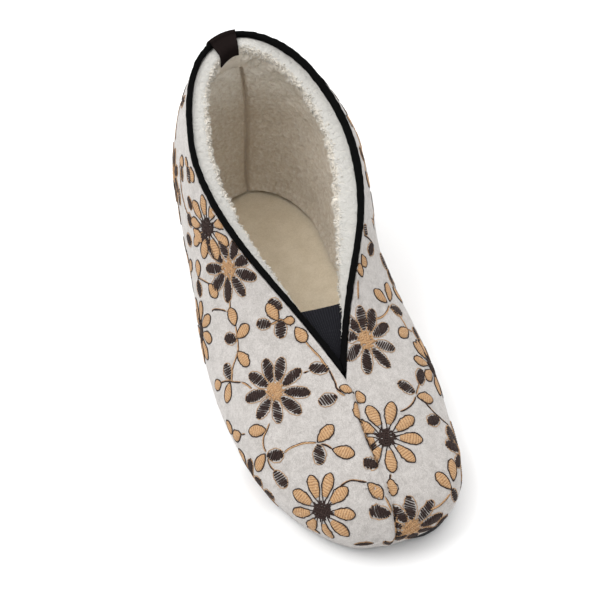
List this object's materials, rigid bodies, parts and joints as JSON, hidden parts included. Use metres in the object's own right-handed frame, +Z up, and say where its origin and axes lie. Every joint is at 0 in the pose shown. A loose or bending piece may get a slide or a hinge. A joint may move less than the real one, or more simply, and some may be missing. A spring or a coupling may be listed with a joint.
{
  "type": "felt bootie slipper",
  "caption": "Ankle-high felt slipper with a deep V throat, bound collar, thick fleece edge, elastic gusset, heel tab and thin flat sole, for the right foot.",
  "frame": {"origin": "middle of the base, on the floor under the sole", "axes": "+Z up, the toe towards -Y and the heel towards +Y, the medial side towards +X"},
  "size_m": [0.111, 0.2662, 0.1258],
  "materials": {
    "felt": "mottled grey-beige wool felt with floral stitching",
    "sole_rubber": "matt black thin sole",
    "insole_felt": "khaki felt",
    "binding_tape": "black woven tape",
    "fleece": "cream curled fleece",
    "elastic": "black ribbed elastic",
    "tab_webbing": "dark brown webbing"
  },
  "bodies": {
    "root": {"upper": "felt", "outsole": "sole_rubber", "insole": "insole_felt", "collar_binding": "binding_tape", "fleece_cuff": "fleece", "gusset": "elastic", "heel_tab": "tab_webbing"}
  },
  "joints": []
}
